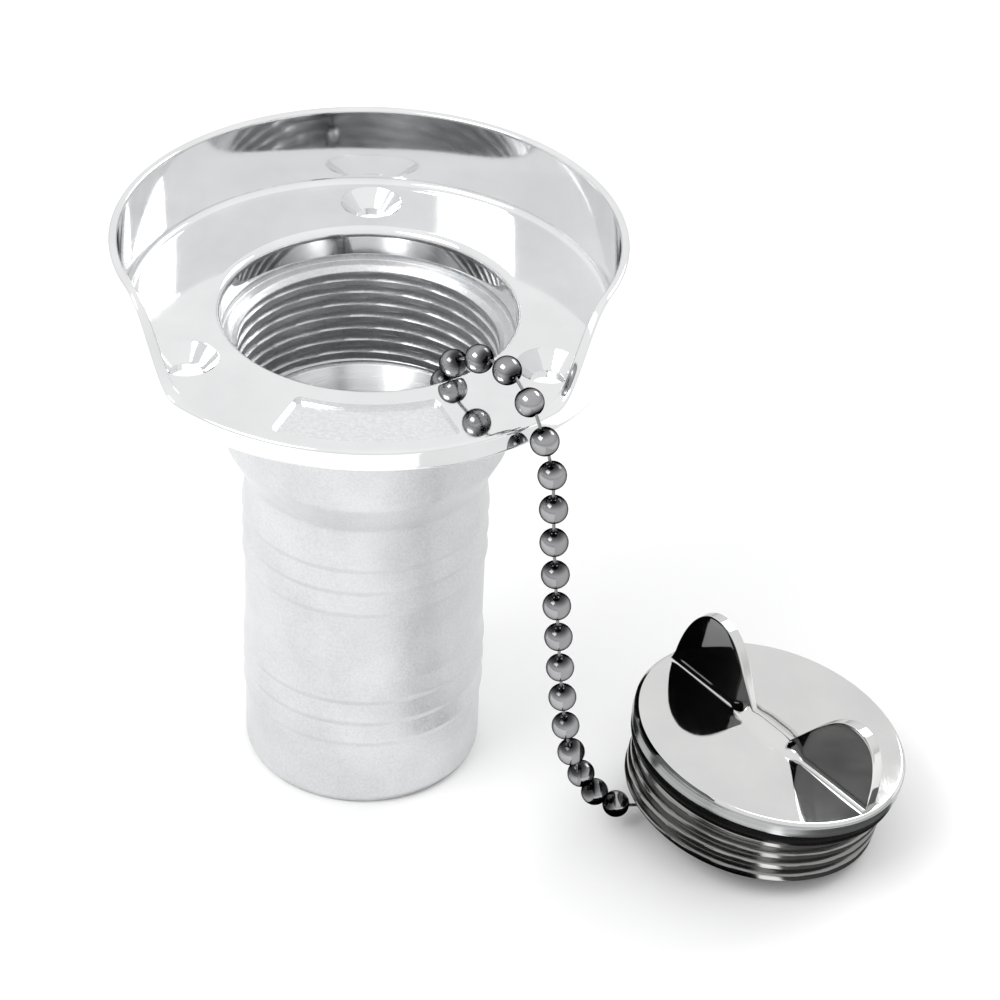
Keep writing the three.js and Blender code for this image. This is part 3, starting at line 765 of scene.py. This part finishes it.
# %% Turn the cap and cut its thread
def cap_outline(angle):
    points = rounded_outline([
        (0, CAP_HEIGHT - 2.5, 0, 0),
        (SWIVEL_HOLE_R, CAP_HEIGHT - 2.5, 0.1, 2),
        (SWIVEL_HOLE_R, BOSS_END, 0.25, 3),
        (BOSS_R, BOSS_END, 0.4, 4),
        (BOSS_R, CEILING, 1.0, 5),
        (CAP_BORE_R, CEILING, 1.2, 5),
        (CAP_BORE_R, 0, 1.1, 5),
        (CAP_ROOT_R, 0, 0.7, 4),
        (CAP_THREAD_R, 1.2, 0.3, 3),
        (CAP_THREAD_R, GROOVE_BOTTOM, 0.2, 3),
        (GROOVE_R, GROOVE_BOTTOM, 0.3, 3),
        (GROOVE_R, DISC_BOTTOM, 0.3, 3),
        (CAP_R, DISC_BOTTOM, 0.25, 4),
        (CAP_R, CAP_HEIGHT - CAP_BEVEL, 0.2, 3),
        (CAP_R - CAP_BEVEL, CAP_HEIGHT, 0.2, 3),
        (0, CAP_HEIGHT, 0, 0),
    ], closed=False)
    return with_rows(points, 1, GROOVE_BOTTOM, CAP_THREAD_R, 0.12)


cap = turned("winged_cap", cap_outline, even_angles(240), closed=False)
run_tree(cap, THREAD_TREE, Radius=CAP_THREAD_R, Pitch=THREAD_PITCH, Depth=CAP_ROOT_R - CAP_THREAD_R,
         Land=0.3, Bottom=1.25, Top=GROOVE_BOTTOM - 0.4, Fade=0.7, Finish=CAP_TURNED)
print("cap turned:", len(cap.data.vertices), "corners")

# %% [markdown]
# The two wings are half leaves with flat mirror faces, a crest of even thickness with slightly
# broken edges, and a small hollow fillet along the foot. Extruding the leaf and bevelling it would
# leave the fillet to luck. Instead, cross-sections are set up along the crest's curve, from one
# end of the diameter to the other, and skinned. Between the wings the same section gets low and
# broad and becomes the saddle. There its sides turn into a shallow wave, which reflects the sky and
# not the dark cards.

# %% Build the wings
WING_ANGLE = -47
WING_INNER = 4.6
WING_OUTER = 21.8
WING_PEAK = 15.6
WING_HEIGHT = 12.25
WING_HALF_THICKNESS = 1.12
WING_FILLET = 1.1
WING_EDGE = 0.3
SADDLE_HEIGHT = 1.3
SADDLE_HALF_TOP = 0.3
SADDLE_SPREAD = 3.6
WING_SUNK = 0.5


def bezier(a, b, c, d, t):
    s = 1 - t
    return Vector(a) * s**3 + Vector(b) * 3 * s * s * t + Vector(c) * 3 * s * t * t + Vector(d) * t**3


def half_crest():
    """The crest's points (along, up) from the wing's outer foot to the middle of the saddle."""
    outer = ((WING_OUTER, 0.03), (WING_OUTER + 0.1, WING_HEIGHT * 0.55),
             (WING_OUTER - 2, WING_HEIGHT), (WING_PEAK, WING_HEIGHT))
    inner = ((WING_PEAK, WING_HEIGHT), (WING_PEAK - 4.8, WING_HEIGHT),
             (WING_INNER + 3.8, WING_HEIGHT * 0.6), (WING_INNER - 0.4, SADDLE_HEIGHT))
    points = [bezier(*outer, k / 18) for k in range(18)]
    points += [bezier(*inner, k / 22) for k in range(23)]
    points += [Vector((WING_INNER - 0.4, SADDLE_HEIGHT)).lerp(Vector((0, SADDLE_HEIGHT)), k / 4)
               for k in (1, 2, 3)]
    return points


def wing_section(crest, inward):
    """Half a section as (along, across, up) points, from the crest's middle line to the foot."""
    saddle = min(max((WING_INNER + 3 - crest.x) / 5, 0), 1)
    half = WING_HALF_THICKNESS + (SADDLE_HALF_TOP - WING_HALF_THICKNESS) * saddle
    edge = min(WING_EDGE, crest.y * 0.3) * (1 - 0.9 * saddle)
    fillet = (crest.y - edge) * 0.97
    fillet = min(WING_FILLET, fillet) * (1 - saddle) + fillet * saddle
    spread = fillet + (SADDLE_SPREAD - fillet) * saddle
    points = [Vector((crest.x, 0, crest.y)), Vector((crest.x, half - min(edge + 0.15, half / 2), crest.y))]
    for k in range(5):
        a = k / 4 * math.pi / 2
        drop = edge * (1 - math.cos(a))
        points.append(Vector((crest.x + inward.x * drop, half - edge * (1 - math.sin(a)),
                              crest.y + inward.y * drop)))
    last = points[-1]
    foot_top = Vector((crest.x, half, fillet))
    points.append(last.lerp(foot_top, 0.1))
    points.append(last.lerp(foot_top, 0.95))
    for k in range(9):
        a = k / 8 * math.pi / 2
        hollow = Vector((crest.x, half + spread * (1 - math.cos(a)), fillet * (1 - math.sin(a))))
        wave = Vector((crest.x, half + spread * k / 8, fillet * (1 + math.cos(2 * a)) / 2))
        points.append(hollow.lerp(wave, saddle))
    points.append(Vector((crest.x, half + spread, -WING_SUNK)))
    return points


def wing_sections():
    crest = half_crest()
    halves = []
    for i, point in enumerate(crest):
        before = crest[max(i - 1, 0)]
        after = crest[min(i + 1, len(crest) - 1)]
        along = (after - before).normalized()
        halves.append(wing_section(point, Vector((along.y, -along.x)) * -1))
    middle = wing_section(Vector((0, SADDLE_HEIGHT)), Vector((0, -1)))
    mirrored = [[Vector((-p.x, p.y, p.z)) for p in half] for half in reversed(halves)]
    return halves + [middle] + mirrored


def build_wings():
    bm = bmesh.new()
    rows = []
    for half in wing_sections():
        left = [Vector((p.x, -p.y, p.z)) for p in reversed(half[1:])]
        rows.append([bm.verts.new(p) for p in left + half])
    for here, there in zip(rows, rows[1:]):
        for j in range(len(here) - 1):
            bm.faces.new((here[j], here[j + 1], there[j + 1], there[j]))
        bm.faces.new((here[-1], here[0], there[0], there[-1]))
    bm.faces.new(list(reversed(rows[0])))
    bm.faces.new(rows[-1])
    bmesh.ops.recalc_face_normals(bm, faces=bm.faces)
    mesh = bpy.data.meshes.new("wings")
    bm.to_mesh(mesh)
    bm.free()
    mesh.transform(Matrix.Translation((0, 0, CAP_HEIGHT)) @ Matrix.Rotation(math.radians(WING_ANGLE), 4, "Z"))
    return new_object("wings", mesh)


joined(cap, build_wings(), "UNION")
print("cap with wings:", len(cap.data.polygons), "faces")


# %% Finish the cap
def cap_finish(face):
    across = math.hypot(face.center.x, face.center.y)
    if face.center.z > CAP_HEIGHT - CAP_BEVEL * 0.6 and across < CAP_R - 0.15:
        return 0
    return 1 if face.center.z > DISC_BOTTOM else 2


paint_by_face(cap, [CAP_POLISH, CAP_BAND, CAP_TURNED], cap_finish)
shaded(cap, (CAP_HEIGHT, CEILING, DISC_BOTTOM, GROOVE_BOTTOM))
placed(cap, CAP_PLACE, "cap", ["cap"])

# %% [markdown]
# ## The seal
#
# An O-ring sits in the groove under the disc. A moulded ring has a fine parting line round its
# outside, so the round section carries a tiny ridge there.

# %% Build the seal
SEAL_SECTION_R = 1.42
SEAL_R = 21.3
SEAL_Z = DISC_BOTTOM - GROOVE_HEIGHT / 2
PARTING_HEIGHT = 0.035


def seal_outline(angle):
    points = []
    for k in range(28):
        a = math.tau * k / 28
        r = SEAL_SECTION_R - (0 if k == 0 else PARTING_HEIGHT)
        points.append(Vector((SEAL_R + r * math.cos(a), SEAL_Z + r * math.sin(a))))
    return points


seal = turned("seal_ring", seal_outline, even_angles(160))
seal.data.materials.append(RUBBER)
shaded(seal)
placed(seal, CAP_PLACE, "cap", ["o_ring"])

# %% [markdown]
# ## Screws, washer and plates
#
# The swivel under the cap and the anchor inside the neck are ordinary small hardware. The screws are
# turned, threaded by the same tree with a finer pitch, and slotted.

# %% Build the screws and the washer
GAP = 0.3
PLATE_THICKNESS = 0.6
PIVOT_SHANK_R = 1.4
PIVOT_HEAD_R = 3
PIVOT_HEAD_HEIGHT = 1.5
WASHER_R = 3.5
WASHER_THICKNESS = 0.6
SCREW_PITCH = 0.5


def pan_screw(name, shank):
    """A pan-head screw whose head rises from z = 0 and whose shank goes down."""
    outline = with_rows(rounded_outline([
        (0, -shank, 0, 0),
        (PIVOT_SHANK_R * 0.8, -shank, 0.05, 2),
        (PIVOT_SHANK_R, -shank + 0.3, 0.05, 2),
        (PIVOT_SHANK_R, 0, 0.05, 2),
        (PIVOT_HEAD_R, 0, 0.12, 3),
        (PIVOT_HEAD_R, PIVOT_HEAD_HEIGHT * 0.55, 0.35, 5),
        (PIVOT_HEAD_R * 0.62, PIVOT_HEAD_HEIGHT, 0.5, 4),
        (0, PIVOT_HEAD_HEIGHT, 0, 0),
    ], closed=False), -shank, 0, PIVOT_SHANK_R, 0.06)
    screw = turned(name, lambda a: outline, even_angles(40), closed=False)
    run_tree(screw, THREAD_TREE, Radius=PIVOT_SHANK_R, Pitch=SCREW_PITCH, Depth=-0.18, Land=0.2,
             Bottom=-shank + 0.3, Top=-0.2, Fade=0.2, Finish=SCREW_METAL)
    bpy.ops.mesh.primitive_cube_add(size=1)
    slot = bpy.context.object
    slot.data.transform(Matrix.Translation((0, 0, PIVOT_HEAD_HEIGHT)) @ Matrix.Diagonal((7, 0.7, 1.7, 1)))
    joined(screw, slot, "DIFFERENCE")
    paint_by_face(screw, [SCREW_METAL], lambda face: 0)
    shaded(screw, (0, PIVOT_HEAD_HEIGHT))
    return screw


def washer_outline(angle):
    return rounded_outline([
        (SWIVEL_HOLE_R, 0, 0.08, 2), (WASHER_R, 0, 0.12, 3),
        (WASHER_R, WASHER_THICKNESS, 0.12, 3), (SWIVEL_HOLE_R, WASHER_THICKNESS, 0.08, 2)])


TURNED_OVER = Matrix.Translation((0, 0, BOSS_END)) @ Matrix.Rotation(math.pi, 4, "Y")
WASHER_Z = GAP + PLATE_THICKNESS + GAP
SWIVEL_HEAD_Z = WASHER_Z + WASHER_THICKNESS + GAP
ANCHOR_HEAD_Z = GAP * 1.5 + PLATE_THICKNESS + GAP

washer = turned("swivel_ring", washer_outline, even_angles(48))
washer.data.materials.append(SCREW_METAL)
shaded(washer, (0, WASHER_THICKNESS))
placed(washer, CAP_PLACE @ TURNED_OVER @ Matrix.Translation((0, 0, WASHER_Z)), "cap",
       ["swivel_washer"])

swivel = pan_screw("swivel_pan_screw", SWIVEL_HEAD_Z + BOSS_HEIGHT - GAP)
placed(swivel, CAP_PLACE @ TURNED_OVER @ Matrix.Translation((0, 0, SWIVEL_HEAD_Z)), "cap",
       ["swivel_screw"])

anchor = pan_screw("anchor_pan_screw", ANCHOR_HEAD_Z + ANCHOR_HOLE_DEPTH - GAP)
placed(anchor, FILLER_PLACE @ anchor_place() @ Matrix.Translation((0, 0, ANCHOR_HEAD_Z)), "filler",
       ["anchor_screw"])

# %% [markdown]
# The two plates are strips of sheet with a screw hole and a small hole for the chain's end link. The
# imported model's plates already have the right shape, so they stay, with the screw metal on them.

# %% Finish the plates that are kept
for name in ("anchor_eyelet", "cap_eyelet"):
    frame["nodes"][name].data.materials.clear()
    frame["nodes"][name].data.materials.append(SCREW_METAL)
    print(name, "kept with", SCREW_METAL.name)

# %% [markdown]
# ## The ball chain
#
# Each bead is a hollow shell rolled from strip, with a small hole at each end, and each link is a
# dumbbell whose heads are trapped inside two beads. One bead and one link are made here as
# patterns. A Geometry Nodes tree then strings them: it puts the pattern on one numbered stop of a
# line of stops, points it along the chain there, and rolls it by a seeded random angle. It runs
# once for each body, because each bead moves by itself.

# %% Patterns for a bead and a link
BEAD_R = 2.225
BEAD_INNER_R = 2
BEAD_HOLE_R = 0.5
BEAD_LIP_R = 0.72
LINK_REACH = 2.4
LINK_HEAD_R = 0.62
LINK_ROD_R = 0.26


def arc_points(radius, first, last, steps):
    """Points on a circle about the origin, by the angle from straight down."""
    angles = [first + (last - first) * k / steps for k in range(steps + 1)]
    return [Vector((radius * math.sin(a), -radius * math.cos(a))) for a in angles]


def bead_outline(angle):
    lip = math.asin(BEAD_LIP_R / BEAD_R)
    hole = math.asin(BEAD_HOLE_R / BEAD_INNER_R)
    turned_in = Vector((BEAD_HOLE_R + 0.06, BEAD_INNER_R - 0.02))
    outer = arc_points(BEAD_R, lip, math.pi - lip, 20)
    inner = arc_points(BEAD_INNER_R, math.pi - hole, hole, 10)
    return outer + [turned_in] + inner + [Vector((turned_in.x, -turned_in.y))]


def link_outline(angle):
    neck = math.asin(LINK_ROD_R / LINK_HEAD_R)
    head = [p + Vector((0, LINK_REACH)) for p in arc_points(LINK_HEAD_R, neck, math.pi, 7)]
    rod = [Vector((LINK_ROD_R, LINK_REACH * t)) for t in (-0.6, 0, 0.6)]
    lower = [Vector((p.x, -p.y)) for p in reversed(head)]
    return lower + rod + head


bead_pattern = turned("bead_pattern", bead_outline, even_angles(32))
# near_hole runs from 0 at the bead's middle to 1 at its holes; the bead's finish paints shade by it.
near_hole = bead_pattern.data.attributes.new("near_hole", "FLOAT", "POINT")
for corner, item in zip(bead_pattern.data.vertices, near_hole.data):
    item.value = abs(corner.co.z) / BEAD_R
shaded(bead_pattern)
link_pattern = turned("link_pattern", link_outline, even_angles(14), closed=False)
shaded(link_pattern)
for pattern in (bead_pattern, link_pattern):
    pattern.data.transform(Matrix.Scale(MM, 4))
print("bead", len(bead_pattern.data.polygons), "link", len(link_pattern.data.polygons), "faces")


# %% The stringing tree
def stringing_tree():
    tree, given = start_tree("string_on_chain", [
        ("Stops", "NodeSocketGeometry"), ("Pattern", "NodeSocketObject"), ("Stop Number", "NodeSocketInt"),
        ("Roll Seed", "NodeSocketInt"), ("Finish", "NodeSocketMaterial")])
    index = tree.nodes.new("GeometryNodeInputIndex").outputs[0]
    here = node(tree, "FunctionNodeCompare", {"data_type": "INT", "operation": "EQUAL"})
    feed(tree, here.inputs[2], index)
    feed(tree, here.inputs[3], given["Stop Number"])
    run = node(tree, "GeometryNodeInputNamedAttribute", {"data_type": "FLOAT_VECTOR"}, Name="run")
    pointed = node(tree, "FunctionNodeAlignRotationToVector", {"axis": "Z"}, Vector=run.outputs[0])
    roll = node(tree, "FunctionNodeRandomValue", {"data_type": "FLOAT"}, Seed=given["Roll Seed"])
    roll.inputs[3].default_value = math.tau
    spin = node(tree, "FunctionNodeAxisAngleToRotation", Angle=roll.outputs[1])
    spin.inputs["Axis"].default_value = (0, 0, 1)
    turned_to = node(tree, "FunctionNodeRotateRotation", {"rotation_space": "LOCAL"},
                     Rotation=pointed.outputs[0], Rotate_By=spin.outputs[0])
    shape = node(tree, "GeometryNodeObjectInfo", Object=given["Pattern"])
    strung = node(tree, "GeometryNodeInstanceOnPoints", Points=given["Stops"], Selection=here.outputs[0],
                  Instance=shape.outputs["Geometry"], Rotation=turned_to.outputs[0])
    end_tree(tree, strung.outputs[0], given["Finish"])
    return tree


STRINGING_TREE = stringing_tree()
print("stringing tree has", len(STRINGING_TREE.nodes), "nodes")

# %% [markdown]
# The stops come from the frame: the middle of each bead's and link's box, and for direction the
# joint at each bead's near pole, which is where a link enters it.

# %% Find the stops
BEADS = sorted(name for name in frame["nodes"] if name.startswith("bead_"))
LINKS = sorted(name for name in frame["nodes"] if name.startswith("link_"))


def box_middle(name):
    low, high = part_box(name)
    return (low + high) / 2


bead_stops = []
for name in BEADS:
    near_pole = Vector(JOINTS[name + "_bend"]["pos_m"])
    bead_stops.append((box_middle(name), box_middle(name) - near_pole))
far_poles = [middle + run for middle, run in bead_stops]
link_stops = [(box_middle(LINKS[0]), bead_stops[0][0] - bead_stops[0][1] - box_middle(LINKS[0]))]
link_stops += [(box_middle(name), box_middle(name) - pole) for name, pole in zip(LINKS[1:], far_poles)]


def stops_object(name, stops):
    """A mesh of loose corners, one for each stop, that carries the chain's direction as run."""
    mesh = bpy.data.meshes.new(name)
    mesh.from_pydata([place for place, run in stops], [], [])
    attribute = mesh.attributes.new("run", "FLOAT_VECTOR", "POINT")
    for item, (place, run) in zip(attribute.data, stops):
        item.vector = run.normalized()
    return mesh


BEAD_STOPS = stops_object("bead_stops", bead_stops)
LINK_STOPS = stops_object("link_stops", link_stops)
print(len(BEADS), "beads", len(LINKS), "links")


# %% String the chain
def strung(name, stops, pattern, number, finish, slot, body, replaced):
    piece = new_object(name, stops.copy())
    run_tree(piece, STRINGING_TREE, Pattern=pattern, Stop_Number=number, Roll_Seed=number, Finish=finish)
    shaded(piece)
    return placed(piece, Matrix.Identity(4), body, [replaced])


for k, bead in enumerate(BEADS):
    strung("chain_" + bead, BEAD_STOPS, bead_pattern, k, BEAD_CHROME, "bead_steel", bead, bead)
for k, link in enumerate(LINKS):
    carrier = "anchor" if k == 0 else BEADS[k - 1]
    strung("chain_" + link, LINK_STOPS, link_pattern, k, LINK_WIRE, "link_steel", carrier, link)
for pattern in (bead_pattern, link_pattern):
    bpy.data.objects.remove(pattern)

# %% [markdown]
# ## Floor, light and camera
#
# Polished metal shows its surroundings, so the light is mostly a white room: a bright sky, a
# slightly darker horizon that gives the rim and the beads their edges, and two soft boxes. Cards
# round the cap shape what it reflects. Two black ones and a grey one stand beside it for the wings'
# dark faces, with a light patch between them. Behind them a glowing card faces the filler, so that
# their backs don't darken it. A black and a grey card lie on the floor for the dark thread, with a
# bright streak between them. The cards are hidden from the camera and from diffuse light and cast
# no shadow, so they exist only as reflections.

# %% White room
def white_room():
    world = bpy.data.worlds.new("white_room")
    world.use_nodes = True
    tree = world.node_tree
    direction = node(tree, "ShaderNodeTexCoord").outputs["Generated"]
    up = node(tree, "ShaderNodeSeparateXYZ", Vector=direction).outputs[2]
    band = node(tree, "ShaderNodeValToRGB", Fac=ramp(tree, up, -1, 1, 0, 1)).outputs[0]
    stops = band.node.color_ramp.elements
    for position, grey in ((0, 0.85), (0.45, 0.88), (0.52, 0.72), (0.62, 0.92), (1, 1)):
        stop = stops[0] if position == 0 else (stops[-1] if position == 1 else stops.new(position))
        stop.position = position
        stop.color = (grey, grey, grey, 1)
    tree.links.new(band, tree.nodes["Background"].inputs["Color"])
    tree.nodes["Background"].inputs["Strength"].default_value = 1.0
    bpy.context.scene.world = world
    bpy.context.scene.view_settings.view_transform = "Standard"


white_room()


def flat_square(name, centre, normal, width, height, colour, emission=0.0):
    """A card that faces along its normal."""
    mesh = bpy.data.meshes.new(name)
    w, h = width / 2 * MM, height / 2 * MM
    mesh.from_pydata([(-w, -h, 0), (w, -h, 0), (w, h, 0), (-w, h, 0)], [], [(0, 1, 2, 3)])
    turn = Vector(normal).to_track_quat("Z", "Y").to_matrix().to_4x4()
    mesh.transform(Matrix.Translation(Vector(centre) * MM) @ turn)
    card = new_object(name, mesh)
    material, tree, shader, place = start_material(name + "_finish", colour, 0, 0.9)
    shader.inputs["Specular IOR Level"].default_value = 0
    shader.inputs["Emission Color"].default_value = (1, 1, 1, 1)
    shader.inputs["Emission Strength"].default_value = emission
    mesh.materials.append(material)
    return card


floor = flat_square("floor", (0, 0, -0.2), (0, 0, 1), 6000, 6000, (0.93, 0.93, 0.93))


def only_reflected(card):
    card.visible_camera = False
    card.visible_shadow = False
    card.visible_diffuse = False
    return card


CAP_X, CAP_Y = CAP_MOUTH.x / MM, CAP_MOUTH.y / MM
BLACK = (0.002, 0.002, 0.002)
GREY = (0.14, 0.14, 0.14)
LIGHT_GREY = (0.4, 0.4, 0.4)
REFLECTED_CARDS = [
    ("black_card", (CAP_X - 29, CAP_Y + 30, 46), (1, 0, 0), 74, 60, BLACK, 0),
    ("low_black_card", (CAP_X - 29, CAP_Y + 24, 10), (1, 0, 0), 40, 12, BLACK, 0),
    ("grey_card", (CAP_X - 29, CAP_Y - 41, 46), (1, 0, 0), 68, 60, GREY, 0),
    ("patch_card", (CAP_X - 28.9, CAP_Y + 4.5, 22), (1, 0, 0), 7, 12, LIGHT_GREY, 0),
    ("backing_card", (CAP_X - 29.5, CAP_Y, 41), (-1, 0, 0), 160, 75, BLACK, 0.9),
    ("left_floor_card", (CAP_X - 16, CAP_Y - 15, -0.1), (0, 0, 1), 32, 46, BLACK, 0),
    ("right_floor_card", (CAP_X + 24, CAP_Y - 20, -0.1), (0, 0, 1), 36, 36, GREY, 0),
    ("streak_card", (CAP_X + 3, CAP_Y - 32, -0.1), (0, 0, 1), 5, 22, BLACK, 2.5),
]
for name, centre, normal, width, height, colour, emission in REFLECTED_CARDS:
    only_reflected(flat_square(name, centre, normal, width, height, colour, emission))
print("floor and cards ready")


# %% Soft boxes
def soft_box(name, place, target, size, power):
    light = bpy.data.lights.new(name, "AREA")
    light.shape = "RECTANGLE"
    light.size = size[0] * MM
    light.size_y = size[1] * MM
    light.energy = power
    lamp = new_object(name, light)
    lamp.location = Vector(place) * MM
    aim = (Vector(target) - Vector(place)).to_track_quat("-Z", "Y")
    lamp.rotation_euler = aim.to_euler()
    return lamp


soft_box("key_box", (-420, -260, 620), (0, 0, 40), (420, 300), 2.2)
soft_box("rim_box", (480, 420, 520), (0, 0, 40), (380, 260), 1.4)
print("soft boxes ready")

# %% [markdown]
# The camera looks down at about 36 degrees from the front with a long lens, which keeps the circles
# nearly true ellipses. It is rolled a little, so that the neck leans.

# %% Camera
CAMERA_PLACE = FILLER_FOOT + Vector((1.56, -413.38, 347.1)) * MM
CAMERA_AZIMUTH = math.radians(2.81)
CAMERA_ELEVATION = math.radians(35.8)
CAMERA_ROLL = math.radians(2.7)
CAMERA_LENS = 112.7

camera_data = bpy.data.cameras.new("camera")
camera_data.lens = CAMERA_LENS
camera_data.sensor_width = 36
camera_data.clip_start = 0.01
camera = new_object("camera", camera_data)
camera.matrix_world = (
    Matrix.Translation(CAMERA_PLACE)
    @ Matrix.Rotation(-CAMERA_AZIMUTH, 4, "Z")
    @ Matrix.Rotation(math.pi / 2 - CAMERA_ELEVATION, 4, "X")
    @ Matrix.Rotation(CAMERA_ROLL, 4, "Z"))
bpy.context.scene.camera = camera
print("camera at", CAMERA_PLACE[:])
